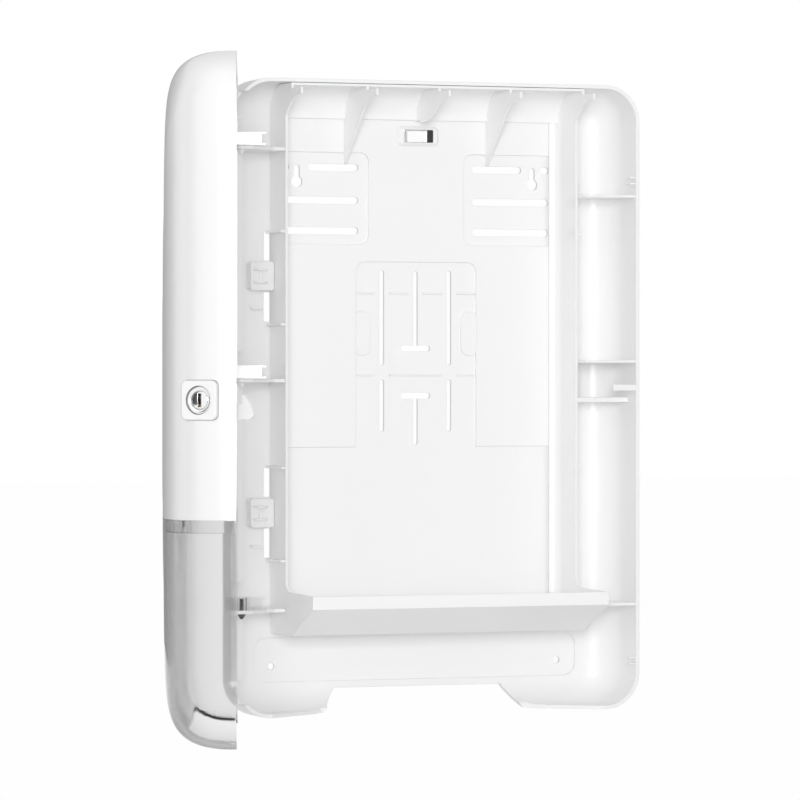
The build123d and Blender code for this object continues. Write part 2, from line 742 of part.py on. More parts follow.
def chute_clip(z):
    """Clip block in the left gutter with a flanged post half sunk in its face."""
    right = -CHUTE_HALF_WIDTH - SEAT_GAP
    x_range = (right - CLIP_WIDTH, right)
    z_range = (z - CLIP_HEIGHT / 2, z + CLIP_HEIGHT / 2)
    body = rounded_block(x_range, z_range, CLIP_CORNER, (PANEL_DEPTH, PANEL_DEPTH + CLIP_DEPTH)) & chute_space()
    spool_x = right - CLIP_WIDTH / 2 - CLIP_SPOOL_OFFSET
    half = CLIP_SPOOL_HEIGHT / 2
    front = PANEL_DEPTH + CLIP_DEPTH
    spool = post((spool_x, front), CLIP_STEM_RADIUS, (z - half, z + half))
    for side in (-1, 1):
        half_thickness = CLIP_FLANGE_THICKNESS / 2
        middle = z + side * (half - half_thickness)
        spool += post((spool_x, front), CLIP_FLANGE_RADIUS, (middle - half_thickness, middle + half_thickness))
    return body + spool


# Level

def level_vial():
    """Clear block vial lying in the level pocket."""
    fit = LEVEL_FIT
    length = LEVEL_POCKET[0] - LEVEL_CAP_LENGTH
    left = LEVEL_X - LEVEL_POCKET[0] / 2
    half = LEVEL_POCKET[1] / 2 - fit
    depth = (RECESS_DEPTH + fit, PANEL_DEPTH + LEVEL_RISE - LEVEL_VIAL_SUNK)
    x_range = (left + fit, left + length - fit)
    return rounded_block(x_range, (LEVEL_Z - half, LEVEL_Z + half), LEVEL_CORNER, depth)


def level_cap():
    """Dark end block of the level."""
    fit = LEVEL_FIT
    right = LEVEL_X + LEVEL_POCKET[0] / 2
    half = LEVEL_POCKET[1] / 2 - fit
    depth = (RECESS_DEPTH + fit, PANEL_DEPTH + LEVEL_RISE - LEVEL_FRAME_EDGE)
    x_range = (right - LEVEL_CAP_LENGTH + fit, right - fit)
    return rounded_block(x_range, (LEVEL_Z - half, LEVEL_Z + half), LEVEL_CORNER, depth)


# Cover

def side_draw(reach):
    """How far the sides are drawn in where the top and bottom are drawn in by a reach."""
    excess = SIDE_ROUNDING / END_ROUNDING - SIDE_SHARE
    return reach * (SIDE_SHARE + excess * math.exp(-reach / SIDE_FADE))


def crown_section(step, inset):
    """One ring of the cover, drawn in further the nearer it lies to the front."""
    reach = CROWN_REACH * (step / CROWN_STEPS) ** 3
    rise = (1 - math.exp(-reach / END_ROUNDING)) ** (1 / CROWN_ROOT)
    swell = CROWN_RISE * (reach / CROWN_REACH) ** 1.5
    depth = RIM_DEPTH + (COVER_DEPTH - CROWN_RISE - inset) * rise + swell
    side = inset + side_draw(reach)
    end = inset + reach
    corner = min(CORNER_RADIUS - inset + CROWN_CORNER_GROWTH * reach, CROWN_CORNER_SHARE * (WIDTH / 2 - side))
    return at_depth(depth) * RectangleRounded(WIDTH - 2 * side, HEIGHT - 2 * end, corner)


def crown(inset):
    """Solid outer form of the closed cover, drawn in all round by an inset."""
    return loft([crown_section(step, inset) for step in range(CROWN_STEPS + 1)])


def cover_shell():
    """Whole curved skin of the cover."""
    return crown(0) - crown(WALL)


def mouth_cut():
    """Opening in the bottom of the cover where the towels come out."""
    reach = RIM_DEPTH + MOUTH_REACH
    outline = RectangleRounded(2 * MOUTH_HALF_WIDTH, 2 * MOUTH_REACH, MOUTH_CORNER)
    foot = -HALF_HEIGHT - 1
    return extrude(Plane.XY.offset(foot) * Pos(0, -reach + MOUTH_REACH) * outline, CORNER_RADIUS)


def hinge_arm(top):
    """Arm of the cover above one hinge shelf: root, barrel and channelled tail."""
    z_range = (top + ARM_GAP, top + ARM_GAP + ARM_HEIGHT)
    barrel = post((HINGE_X, HINGE_DEPTH), KNUCKLE_RADIUS, z_range)
    root = block((HINGE_X - KNUCKLE_RADIUS, HINGE_X + KNUCKLE_RADIUS), (HINGE_DEPTH, HINGE_DEPTH + ARM_ROOT), z_range)
    tail_x = (HINGE_X - ARM_TAIL_OFFSET, HINGE_X - ARM_TAIL_OFFSET + ARM_WIDTH)
    tail = block(tail_x, (HINGE_DEPTH - ARM_TAIL, HINGE_DEPTH), z_range)
    channel_z = (z_range[0] + ARM_FLANGE, z_range[1] - ARM_FLANGE)
    channel_depth = (HINGE_DEPTH - ARM_TAIL - 1, HINGE_DEPTH - KNUCKLE_RADIUS - ARM_FLANGE)
    channel = block((tail_x[0] - 1, tail_x[1] - ARM_FLANGE), channel_depth, channel_z)
    mouth_depth = (channel_depth[0], HINGE_DEPTH - ARM_TAIL + ARM_MOUTH)
    channel += block((tail_x[0] - 1, tail_x[1] + 1), mouth_depth, channel_z)
    bore = post((HINGE_X, HINGE_DEPTH), PIN_RADIUS + PIN_HELD_FIT, (top - PAST, top + ARM_HEIGHT))
    return barrel + root + tail - channel - bore


def edge_notches(z_tops):
    """Gaps in the hinge edge of the cover that clear the housing's knuckles."""
    cuts = []
    for top in z_tops:
        cuts.append(block(
            (-HALF_WIDTH - 1, HINGE_X + 2 * KNUCKLE_RADIUS),
            (RIM_DEPTH - 1, RIM_DEPTH + EDGE_NOTCH),
            (top - SHELF_THICKNESS - 1, top + ARM_GAP),
        ))
    return cuts


def lock_plane(inward):
    """Plane across the lock axis, this far inside the skin: local x is rearwards, y is up."""
    rise = LOCK_DEPTH / (COVER_DEPTH - CROWN_RISE)
    inset = side_draw(-END_ROUNDING * math.log(1 - rise ** CROWN_ROOT))
    tilt = math.radians(LOCK_TILT)
    outward = Vector(math.cos(tilt), -math.sin(tilt), 0)
    rearward = Vector(math.sin(tilt), math.cos(tilt), 0)
    skin = Vector(HALF_WIDTH - inset, -RIM_DEPTH - LOCK_DEPTH, LOCK_Z)
    return Plane(origin=skin - outward * inward, x_dir=rearward, z_dir=outward)


def lock_boss():
    """Thick square behind the skin that carries the lock."""
    pad = extrude(lock_plane(BOSS_DEPTH) * RectangleRounded(BOSS_SIZE, BOSS_SIZE, BEZEL_CORNER), BOSS_DEPTH)
    return pad & crown(WALL / 2)


def lock_cut():
    """Pocket for the bezel and bore for the barrel."""
    pocket_size = BEZEL_SIZE + SEAT_GAP
    pocket_back = BEZEL_SEAT + SEAT_GAP
    pocket = extrude(
        lock_plane(pocket_back) * RectangleRounded(pocket_size, pocket_size, BEZEL_CORNER),
        pocket_back + 2 * BEZEL_THICKNESS,
    )
    bore = extrude(lock_plane(BARREL_LENGTH + PAST) * Circle(BARREL_RADIUS + BARREL_FIT), BARREL_LENGTH + PAST)
    return pocket + bore


def upper_cover():
    """White upper part of the cover with two hinge arms and the lock boss."""
    above = block((-WIDTH, WIDTH), (0, 2 * DEPTH), (SPLIT_Z, HEIGHT))
    body = cover_shell() & above
    body += lock_boss()
    body -= lock_cut()
    for cut in edge_notches(HINGE_Z[:2]):
        body -= cut
    for top in HINGE_Z[:2]:
        body += hinge_arm(top)
    return body


def window_lap():
    """Thin lip of the window that tucks up behind the upper cover."""
    inner = crown(WALL + SEAT_GAP + LAP_WALL)
    reach = (RIM_DEPTH + 1, 2 * DEPTH)
    above = block((-WIDTH, WIDTH), reach, (SPLIT_Z - SEAT_GAP, SPLIT_Z + LAP))
    below = block((-WIDTH, WIDTH), reach, (SPLIT_Z - LAP, SPLIT_Z - SEAT_GAP))
    return ((crown(WALL + SEAT_GAP) - inner) & above) + ((crown(WALL / 2) - inner) & below)


def lower_window():
    """Grey see-through lower part of the cover with its own hinge arm."""
    below = block((-WIDTH, WIDTH), (0, 2 * DEPTH), (-HEIGHT, SPLIT_Z - 0.1))
    body = cover_shell() & below
    body -= mouth_cut()
    body += window_lap()
    for cut in edge_notches(HINGE_Z[2:]):
        body -= cut
    body += hinge_arm(HINGE_Z[2])
    return body


# Hinge pins

def hinge_pin(top):
    """Pin held in the arm, turning in the shelf, with a snap tip below it."""
    shelf_foot = top - SHELF_THICKNESS
    tip_top = shelf_foot - ARM_GAP
    pin = post((HINGE_X, HINGE_DEPTH), PIN_RADIUS, (tip_top - 1, top + ARM_HEIGHT - 1))
    tip = Pos(HINGE_X, -HINGE_DEPTH, tip_top - PIN_TIP / 2) * Cone(
        PIN_TIP_END, PIN_TIP_RADIUS, PIN_TIP
    )
    return pin + tip


# Lock

def lock_bezel():
    """Square plate round the face of the lock."""
    outline = RectangleRounded(BEZEL_SIZE, BEZEL_SIZE, BEZEL_CORNER)
    body = extrude(lock_plane(BEZEL_SEAT) * outline, BEZEL_THICKNESS)
    face_plane = lock_plane(-BEZEL_PROUD)
    edges = [edge for edge in body.edges() if abs(face_plane.to_local_coords(edge.center()).Z) < 0.01]
    body = chamfer(edges, BEZEL_EDGE)
    ring = Circle(BARREL_FLANGE_RADIUS + BEZEL_HOLE_FIT)
    hole = extrude(lock_plane(BEZEL_SEAT + PAST) * ring, BEZEL_THICKNESS + 2 * PAST)
    return body - hole


def lock_barrel():
    """Fixed sleeve of the lock with its front flange."""
    flange = extrude(lock_plane(BEZEL_SEAT) * Circle(BARREL_FLANGE_RADIUS), BARREL_FLANGE)
    sleeve = extrude(lock_plane(BARREL_LENGTH) * Circle(BARREL_RADIUS), BARREL_LENGTH - BEZEL_SEAT)
    bore = extrude(lock_plane(BARREL_LENGTH + PAST) * Circle(PLUG_RADIUS + PLUG_FIT), BARREL_LENGTH + 2 * PAST)
    return flange + sleeve - bore


def wafer_slots():
    """Cross slots of the plug, one for each wafer, and the keyway through them."""
    width, height = KEYWAY
    cuts = [extrude(lock_plane(BARREL_LENGTH - KEYWAY_END) * Rectangle(width, height), BARREL_LENGTH)]
    for index in range(WAFER_COUNT):
        inward = FIRST_WAFER + index * WAFER_PITCH + WAFER_THICKNESS
        slot_box = Rectangle(WAFER_SIZE[0] + WAFER_FIT, WAFER_SIZE[1] + WAFER_FIT)
        cuts.append(extrude(lock_plane(inward + WAFER_FIT / 2) * slot_box, WAFER_THICKNESS + WAFER_FIT))
    return cuts


def lock_plug():
    """Turning core with keyway, wafer slots and the square that drives the cam."""
    face = BEZEL_SEAT - BARREL_FLANGE + PLUG_SUNK
    core_back = BARREL_LENGTH + PLUG_SHOULDER - PLUG_END_GAP
    core = extrude(lock_plane(core_back) * Circle(PLUG_RADIUS), core_back - face)
    square = extrude(lock_plane(CAM_BACK - PLUG_END_GAP) * Rectangle(CAM_SQUARE, CAM_SQUARE), CAM_THICKNESS)
    body = core + square
    for cut in wafer_slots():
        body -= cut
    tapped = extrude(lock_plane(CAM_BACK + PAST) * Circle(CAM_SCREW_RADIUS), CAM_SCREW_HOLE)
    return body - tapped


def lock_wafers():
    """Brass wafers that the key lifts, each with its own key window."""
    wafers = []
    for index in range(WAFER_COUNT):
        inward = FIRST_WAFER + index * WAFER_PITCH + WAFER_THICKNESS
        window = Pos(0, WAFER_WINDOW_RISE) * Rectangle(KEYWAY[0], KEYWAY[1] - WAFER_WINDOW_SHORT)
        wafers.append(extrude(lock_plane(inward) * (Rectangle(*WAFER_SIZE) - window), WAFER_THICKNESS))
    return Compound(children=wafers)


def lock_cam():
    """Fin-shaped cam whose hook goes behind the keeper when the key is turned."""
    root_foot = (CAM_ROOT_X, CAM_FOOT + CAM_ROOT_HALF)
    root_top = (CAM_ROOT_X, CAM_ROOT_HALF)
    knee = (CAM_KNEE[0], CAM_FOOT + CAM_KNEE[1])
    toe = (CAM_REACH - CAM_TOE[0], CAM_FOOT)
    tip = (CAM_REACH, CAM_FOOT + CAM_TOE[1])
    hook = (CAM_REACH - CAM_HOOK_TIP, CAM_HOOK_TOP)
    hook_inside = CAM_REACH - CAM_HOOK_INSIDE
    edge_end = (CAM_REACH - CAM_EDGE_END, CAM_EDGE_Z)
    with BuildLine() as outline:
        Polyline(root_foot, knee, toe)
        RadiusArc(toe, tip, -CAM_TOE_RADIUS)
        Spline(tip, *[(CAM_REACH - back, height) for back, height in CAM_BACK_CURVE], hook)
        Polyline(
            hook,
            (hook_inside, CAM_HOOK_TOP - CAM_HOOK_BEVEL),
            (hook_inside, CAM_EDGE_Z),
            edge_end,
            root_top,
            root_foot,
        )
    square = Rectangle(CAM_SQUARE + CAM_SQUARE_FIT, CAM_SQUARE + CAM_SQUARE_FIT)
    fin = make_face(outline.line) + Circle(CAM_HUB_RADIUS) - square
    return extrude(lock_plane(CAM_BACK) * fin, CAM_THICKNESS)


def lock_cam_screw():
    """Pan-head screw that holds the cam on the plug."""
    head_back = CAM_BACK + CAM_SCREW_HEAD_HEIGHT
    head = extrude(lock_plane(head_back) * Circle(CAM_SCREW_HEAD), CAM_SCREW_HEAD_HEIGHT)
    shank = extrude(lock_plane(CAM_BACK + JOIN) * Circle(CAM_SCREW_RADIUS - CAM_SCREW_FIT), CAM_SCREW_LENGTH)
    width, length, depth = CAM_SCREW_SLOT
    driver_slot = extrude(lock_plane(head_back + PAST) * Rectangle(width, length), depth + PAST)
    return head + shank - driver_slot


def lock_nut():
    """Hexagon nut that clamps the barrel to the boss."""
    hexagon = RegularPolygon(NUT_ACROSS_FLATS / 2, 6, major_radius=False)
    ring = hexagon - Circle(BARREL_RADIUS + BARREL_FIT)
    return extrude(lock_plane(BOSS_DEPTH + NUT_THICKNESS) * ring, NUT_THICKNESS)


# Write every node

def fixed_nodes():
    """Pieces that stay on the wall."""
    return {
        "rear_housing": rear_housing(),
        "towel_chute": towel_chute(),
        "upper_chute_clip": chute_clip(CLIP_Z[0]),
        "lower_chute_clip": chute_clip(CLIP_Z[1]),
        "level_vial": level_vial(),
        "level_end_cap": level_cap(),
    }


def cover_nodes():
    """Pieces that swing with the cover, in the closed position."""
    return {
        "upper_cover": upper_cover(),
        "lower_window": lower_window(),
        "upper_hinge_pin": hinge_pin(HINGE_Z[0]),
        "middle_hinge_pin": hinge_pin(HINGE_Z[1]),
        "lower_hinge_pin": hinge_pin(HINGE_Z[2]),
        "lock_bezel": lock_bezel(),
        "lock_barrel": lock_barrel(),
        "lock_nut": lock_nut(),
        "lock_plug": lock_plug(),
        "lock_wafers": lock_wafers(),
        "lock_cam": lock_cam(),
        "lock_cam_screw": lock_cam_screw(),
    }


def main():
    """Build and write every piece."""
    os.makedirs("parts", exist_ok=True)
    for name, part in fixed_nodes().items():
        export_step(part, f"parts/{name}.step")
    for name, part in cover_nodes().items():
        export_step(swung_open(part), f"parts/{name}.step")
    print("hinge axis", HINGE_X, -HINGE_DEPTH)
    print("lock centre", swung_open(Pos(*lock_plane(0).origin) * Box(1, 1, 1)).center())
    outward = lock_plane(0).z_dir.rotate(Axis.Z, -OPEN_ANGLE)
    print("lock axis", outward)


main()
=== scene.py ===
"""Finishes, light and camera for a folded towel dispenser whose cover stands open.

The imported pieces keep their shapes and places. Each sub-assembly below gives its pieces their
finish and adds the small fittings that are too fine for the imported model.
"""
import json
import logging
import math
from dataclasses import dataclass
from enum import Enum

import bmesh
import bpy
from mathutils import Matrix, Vector


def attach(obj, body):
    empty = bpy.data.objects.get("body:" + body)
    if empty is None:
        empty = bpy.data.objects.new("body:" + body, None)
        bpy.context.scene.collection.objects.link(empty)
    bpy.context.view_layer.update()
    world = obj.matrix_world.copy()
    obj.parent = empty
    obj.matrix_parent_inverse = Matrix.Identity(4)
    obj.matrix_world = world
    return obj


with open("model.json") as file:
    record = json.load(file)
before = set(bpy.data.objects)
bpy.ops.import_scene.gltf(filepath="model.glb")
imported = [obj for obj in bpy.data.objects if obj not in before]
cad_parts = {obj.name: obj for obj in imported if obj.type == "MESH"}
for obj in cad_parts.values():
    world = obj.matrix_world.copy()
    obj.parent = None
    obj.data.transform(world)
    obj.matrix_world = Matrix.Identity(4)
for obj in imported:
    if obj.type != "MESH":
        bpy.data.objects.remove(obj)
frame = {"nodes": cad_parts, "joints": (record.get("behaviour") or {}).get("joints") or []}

LOG = logging.getLogger("towel_dispenser")
Colour = tuple[float, float, float]
FRAME_PIXELS = 800
WHITE = (1.0, 1.0, 1.0, 1.0)
BLACK = (0.0, 0.0, 0.0, 1.0)


class Body(Enum):
    """Bodies that pieces ride on."""

    HOUSING = "housing"
    COVER = "cover"
    LOCK_CORE = "lock_core"


class Slot(Enum):
    """Material slots of the record."""

    WHITE_MOULDING = "white_moulding"
    COVER_WHITE = "cover_white"
    WINDOW_GREY = "window_grey"
    DARK_PLASTIC = "dark_plastic"
    CLEAR_VIAL = "clear_vial"
    LOCK_CHROME = "lock_chrome"
    WAFER_BRASS = "wafer_brass"


class NodeTools:
    """Short ways to make and join shader nodes in one tree."""

    def __init__(self, tree: bpy.types.NodeTree) -> None:
        """Keep the tree that nodes are made in.

        Args:
            tree: The tree to work in.
        """
        self.tree = tree

    def make(self, kind: str, **settings: object) -> bpy.types.Node:
        """Make a node and set its properties.

        Args:
            kind: Blender's name for the node type.
            settings: Properties to set on the node.

        Returns:
            The new node.
        """
        node = self.tree.nodes.new(kind)
        for name, value in settings.items():
            setattr(node, name, value)
        return node

    def join(self, source: bpy.types.NodeSocket, target: bpy.types.NodeSocket) -> None:
        """Link an output socket to an input socket.

        Args:
            source: The output.
            target: The input that it feeds.
        """
        self.tree.links.new(source, target)

    def value(self, operation: str, first: object, second: object) -> bpy.types.NodeSocket:
        """Make a Math node.

        Args:
            operation: Name of the operation.
            first: Number or socket for the first input.
            second: Number or socket for the second input.

        Returns:
            The socket with the result.
        """
        node = self.make("ShaderNodeMath", operation=operation)
        for socket, given in zip(node.inputs, (first, second)):
            if isinstance(given, (int, float)):
                socket.default_value = given
            else:
                self.join(given, socket)
        return node.outputs[0]


class ShaderGroups:
    """Effects that several finishes share, each built once as a node group. Scales are per metre."""

    RAY_SAMPLES = 4
    GRAIN_DETAIL = 3.0
    FLOW_SCALE = 26.0
    FLOW_DETAIL = 1.0
    CLOUD_SCALE = 9.0
    CLOUD_DETAIL = 4.0
    SMEAR_SCALE = 60.0
    SMEAR_DETAIL = 5.0
    CORNER_REACH = 0.003

    def __init__(self) -> None:
        """Build both groups."""
        self.grain = self._build_grain()
        self.ageing_and_shade = self._build_ageing_and_shade()

    @staticmethod
    def _start(
        name: str, inputs: dict[str, tuple[str, object]], outputs: dict[str, str]
    ) -> bpy.types.NodeTree:
        """Make an empty group with named sockets.

        Args:
            name: Name of the group.
            inputs: Socket type and default value for each input name.
            outputs: Socket type for each output name.

        Returns:
            The group with its sockets.
        """
        group = bpy.data.node_groups.new(name, "ShaderNodeTree")
        for label, (kind, value) in inputs.items():
            socket = group.interface.new_socket(label, in_out="INPUT", socket_type=kind)
            socket.default_value = value
        for label, kind in outputs.items():
            group.interface.new_socket(label, in_out="OUTPUT", socket_type=kind)
        return group

    @staticmethod
    def _noise(
        tools: NodeTools, place: bpy.types.NodeSocket, detail: float, scale: float = 1.0
    ) -> bpy.types.Node:
        """Make a noise texture.

        Args:
            tools: Tools of the group's tree.
            place: Socket with the coordinates.
            detail: How many finer layers it has.
            scale: Its scale, where no socket sets it.

        Returns:
            The noise node.
        """
        noise = tools.make("ShaderNodeTexNoise")
        noise.inputs["Scale"].default_value = scale
        noise.inputs["Detail"].default_value = detail
        tools.join(place, noise.inputs["Vector"])
        return noise

    def _build_grain(self) -> bpy.types.NodeTree:
        """Fine texture of a moulded or rolled face, with softened edges.

        Returns:
            The finished group.
        """
        group = self._start(
            "surface_grain",
            {
                "Grain Scale": ("NodeSocketFloat", 1500.0),
                "Grain Height": ("NodeSocketFloat", 0.00002),
                "Flow Height": ("NodeSocketFloat", 0.00002),
                "Edge Radius": ("NodeSocketFloat", 0.0006),
            },
            {"Normal": "NodeSocketVector"},
        )
        tools = NodeTools(group)
        given = tools.make("NodeGroupInput").outputs
        result = tools.make("NodeGroupOutput").inputs
        place = tools.make("ShaderNodeTexCoord").outputs["Object"]
        edge = tools.make("ShaderNodeBevel", samples=self.RAY_SAMPLES)
        tools.join(given["Edge Radius"], edge.inputs["Radius"])
        fine = self._noise(tools, place, self.GRAIN_DETAIL)
        tools.join(given["Grain Scale"], fine.inputs["Scale"])
        flow = self._noise(tools, place, self.FLOW_DETAIL, self.FLOW_SCALE)
        fine_height = tools.value("MULTIPLY", fine.outputs[0], given["Grain Height"])
        flow_height = tools.value("MULTIPLY", flow.outputs[0], given["Flow Height"])
        bump = tools.make("ShaderNodeBump")
        bump.inputs["Distance"].default_value = 1.0
        tools.join(tools.value("ADD", fine_height, flow_height), bump.inputs["Height"])
        tools.join(edge.outputs[0], bump.inputs["Normal"])
        tools.join(bump.outputs[0], result["Normal"])
        return group

    def _build_ageing_and_shade(self) -> bpy.types.NodeTree:
        """Slow colour drift, dust with painted shade in the corners, and uneven gloss.

        Returns:
            The finished group.
        """
        group = self._start(
            "surface_ageing_and_shade",
            {
                "Clean Colour": ("NodeSocketColor", (0.8, 0.8, 0.8, 1.0)),
                "Aged And Shade Colour": ("NodeSocketColor", (0.7, 0.7, 0.68, 1.0)),
                "Drift": ("NodeSocketFloat", 0.2),
                "Corner Dust And Shade": ("NodeSocketFloat", 0.3),
                "Base Roughness": ("NodeSocketFloat", 0.4),
                "Roughness Spread": ("NodeSocketFloat", 0.08),
            },
            {"Colour": "NodeSocketColor", "Roughness": "NodeSocketFloat"},
        )
        tools = NodeTools(group)
        given = tools.make("NodeGroupInput").outputs
        result = tools.make("NodeGroupOutput").inputs
        place = tools.make("ShaderNodeTexCoord").outputs["Object"]
        cloud = self._noise(tools, place, self.CLOUD_DETAIL, self.CLOUD_SCALE)
        smear = self._noise(tools, place, self.SMEAR_DETAIL, self.SMEAR_SCALE)
        # Ambient occlusion mixes the colour towards the aged and shade colour in corners, creases and
        # seams between parts. This is painted shade together with dust.
        corner = tools.make("ShaderNodeAmbientOcclusion", samples=self.RAY_SAMPLES)
        corner.inputs["Distance"].default_value = self.CORNER_REACH
        hidden = tools.value("SUBTRACT", 1.0, corner.outputs["AO"])
        dust_and_shade = tools.value("MULTIPLY", hidden, given["Corner Dust And Shade"])
        drift = tools.value("MULTIPLY", cloud.outputs[0], given["Drift"])
        amount = tools.make("ShaderNodeClamp")
        tools.join(tools.value("ADD", dust_and_shade, drift), amount.inputs["Value"])
        mix = tools.make("ShaderNodeMix", data_type="RGBA")
        tools.join(amount.outputs[0], mix.inputs["Factor"])
        tools.join(given["Clean Colour"], mix.inputs["A"])
        tools.join(given["Aged And Shade Colour"], mix.inputs["B"])
        uneven = tools.value("SUBTRACT", smear.outputs[0], 0.5)
        spread = tools.value("MULTIPLY", uneven, given["Roughness Spread"])
        tools.join(mix.outputs["Result"], result["Colour"])
        tools.join(tools.value("ADD", given["Base Roughness"], spread), result["Roughness"])
        return group


@dataclass(frozen=True)
class Surface:
    """Numbers that every finish shares: colours, roughness, grain and edge radius in metres."""

    name: str
    clean: Colour
    aged_and_shade: Colour
    roughness: float
    roughness_spread: float = 0.08
    drift: float = 0.2
    # How strongly corners and seams darken towards the aged and shade colour: dust and painted shade.
    corner_dust_and_shade: float = 0.06
    grain_scale: float = 1500.0
    grain_height: float = 0.00002
    flow_height: float = 0.00002
    edge_radius: float = 0.0006

    def start(self, groups: ShaderGroups) -> tuple[bpy.types.Material, NodeTools, bpy.types.Node]:
        """Make the material with its shader, and feed colour, roughness and normal to it.

        Args:
            groups: The shared shader groups.

        Returns:
            The material, its node tools and its Principled shader.
        """
        material = bpy.data.materials.new(self.name)
        material.use_nodes = True
        tools = NodeTools(material.node_tree)
        shader = material.node_tree.nodes["Principled BSDF"]
        grain = tools.make("ShaderNodeGroup", node_tree=groups.grain)
        grain.inputs["Grain Scale"].default_value = self.grain_scale
        grain.inputs["Grain Height"].default_value = self.grain_height
        grain.inputs["Flow Height"].default_value = self.flow_height
        grain.inputs["Edge Radius"].default_value = self.edge_radius
        ageing_and_shade = tools.make("ShaderNodeGroup", node_tree=groups.ageing_and_shade)
        ageing_and_shade.inputs["Clean Colour"].default_value = (*self.clean, 1.0)
        ageing_and_shade.inputs["Aged And Shade Colour"].default_value = (*self.aged_and_shade, 1.0)
        ageing_and_shade.inputs["Drift"].default_value = self.drift
        ageing_and_shade.inputs["Corner Dust And Shade"].default_value = self.corner_dust_and_shade
        ageing_and_shade.inputs["Base Roughness"].default_value = self.roughness
        ageing_and_shade.inputs["Roughness Spread"].default_value = self.roughness_spread
        tools.join(ageing_and_shade.outputs["Colour"], shader.inputs["Base Color"])
        tools.join(ageing_and_shade.outputs["Roughness"], shader.inputs["Roughness"])
        tools.join(grain.outputs["Normal"], shader.inputs["Normal"])
        return material, tools, shader


@dataclass(frozen=True)
class PlasticFinish:
    """Opaque moulded plastic."""

    surface: Surface
    coat: float = 0.0
    coat_roughness: float = 0.12
    refraction: float = 1.5

    def build(self, groups: ShaderGroups) -> bpy.types.Material:
        """Make the material.

        Args:
            groups: The shared shader groups.

        Returns:
            The material.
        """
        material, _, shader = self.surface.start(groups)
        shader.inputs["IOR"].default_value = self.refraction
        shader.inputs["Coat Weight"].default_value = self.coat
        shader.inputs["Coat Roughness"].default_value = self.coat_roughness
        return material


@dataclass(frozen=True)
class ClearFinish:
    """See-through plastic whose tint deepens with its thickness, with painted shade at low angles if
    asked.
    """

    surface: Surface
    tint: Colour
    density: float
    refraction: float = 1.49
    edge_shade: float = 0.0
    edge_falloff: float = 2.0

    def build(self, groups: ShaderGroups) -> bpy.types.Material:
        """Make the material.

        Args:
            groups: The shared shader groups.

        Returns:
            The material.
        """
        material, tools, shader = self.surface.start(groups)
        shader.inputs["Transmission Weight"].default_value = 1.0
        shader.inputs["IOR"].default_value = self.refraction
        if self.edge_shade > 0.0:
            self.shade_edges(tools, shader)
        inside = tools.make("ShaderNodeVolumeAbsorption")
        inside.inputs["Color"].default_value = (*self.tint, 1.0)
        inside.inputs["Density"].default_value = self.density
        output = material.node_tree.nodes["Material Output"]
        tools.join(inside.outputs[0], output.inputs["Volume"])
        return material

    def shade_edges(self, tools: NodeTools, shader: bpy.types.Node) -> None:
        """Paint shade into the colour where the eye first meets the piece at a low angle.

        Args:
            tools: Tools of the material's tree.
            shader: Its Principled shader.
        """
        colour = shader.inputs["Base Color"]
        plain = colour.links[0].from_socket
        facing = tools.make("ShaderNodeLayerWeight")
        rays = tools.make("ShaderNodeLightPath").outputs
        # Painted shade: camera rays that meet the face at a low angle get a darker colour.
        graze = tools.value("POWER", facing.outputs["Facing"], self.edge_falloff)
        first = tools.value("MULTIPLY", graze, rays["Is Camera Ray"])
        mix = tools.make("ShaderNodeMix", data_type="RGBA")
        tools.join(tools.value("MULTIPLY", first, self.edge_shade), mix.inputs["Factor"])
        tools.join(plain, mix.inputs["A"])
        mix.inputs["B"].default_value = BLACK
        tools.join(mix.outputs["Result"], colour)


@dataclass(frozen=True)
class MetalFinish:
    """Plated or stamped metal."""

    surface: Surface

    def build(self, groups: ShaderGroups) -> bpy.types.Material:
        """Make the material.

        Args:
            groups: The shared shader groups.

        Returns:
            The material.
        """
        material, _, shader = self.surface.start(groups)
        shader.inputs["Metallic"].default_value = 1.0
        return material


Finish = PlasticFinish | ClearFinish | MetalFinish

HOUSING_WHITE = PlasticFinish(
    Surface("housing_white", (0.93, 0.93, 0.932), (0.87, 0.868, 0.86), 0.38, drift=0.1),
    coat=0.15,
)
CHUTE_WHITE = PlasticFinish(
    Surface("chute_white", (0.94, 0.94, 0.942), (0.88, 0.878, 0.87), 0.34, drift=0.1),
    coat=0.15,
)
COVER_WHITE = PlasticFinish(
    Surface("cover_white", (0.865, 0.865, 0.868), (0.82, 0.818, 0.81), 0.24, drift=0.08,
            grain_height=0.000006, flow_height=0.00001, edge_radius=0.0008),
    coat=0.25,
    coat_roughness=0.1,
)
# The bezel's dark grey aged and shade colour, with strong corner darkening, paints the shadow line in
# the gap round the bezel.
BEZEL_WHITE = PlasticFinish(
    Surface("bezel_white", (0.91, 0.91, 0.913), (0.34, 0.34, 0.34), 0.22, drift=0.02,
            corner_dust_and_shade=1.3, grain_height=0.000004, flow_height=0.000004, edge_radius=0.0005),
    coat=0.3,
    coat_roughness=0.08,
)
CLIP_WHITE = PlasticFinish(
    Surface("clip_white", (0.92, 0.92, 0.92), (0.84, 0.835, 0.82), 0.3, grain_scale=2200.0,
            edge_radius=0.0004),
)
DARK_BLOCK = PlasticFinish(
    Surface("dark_block", (0.012, 0.012, 0.013), (0.05, 0.05, 0.05), 0.45, grain_scale=2500.0,
            edge_radius=0.0003),
)
PIN_GREY = PlasticFinish(
    Surface("pin_grey", (0.07, 0.07, 0.072), (0.14, 0.14, 0.14), 0.35, grain_scale=2500.0,
            edge_radius=0.0003),
)
SMOKED_CLEAR = ClearFinish(
    Surface("smoked_clear", (0.97, 0.97, 0.97), (0.92, 0.92, 0.915), 0.05, roughness_spread=0.03,
            corner_dust_and_shade=0.05, grain_height=0.000001, flow_height=0.00003, edge_radius=0.0006),
    tint=(0.30, 0.30, 0.31),
    density=50.0,
    refraction=1.25,
    edge_shade=0.97,
    edge_falloff=1.1,
)
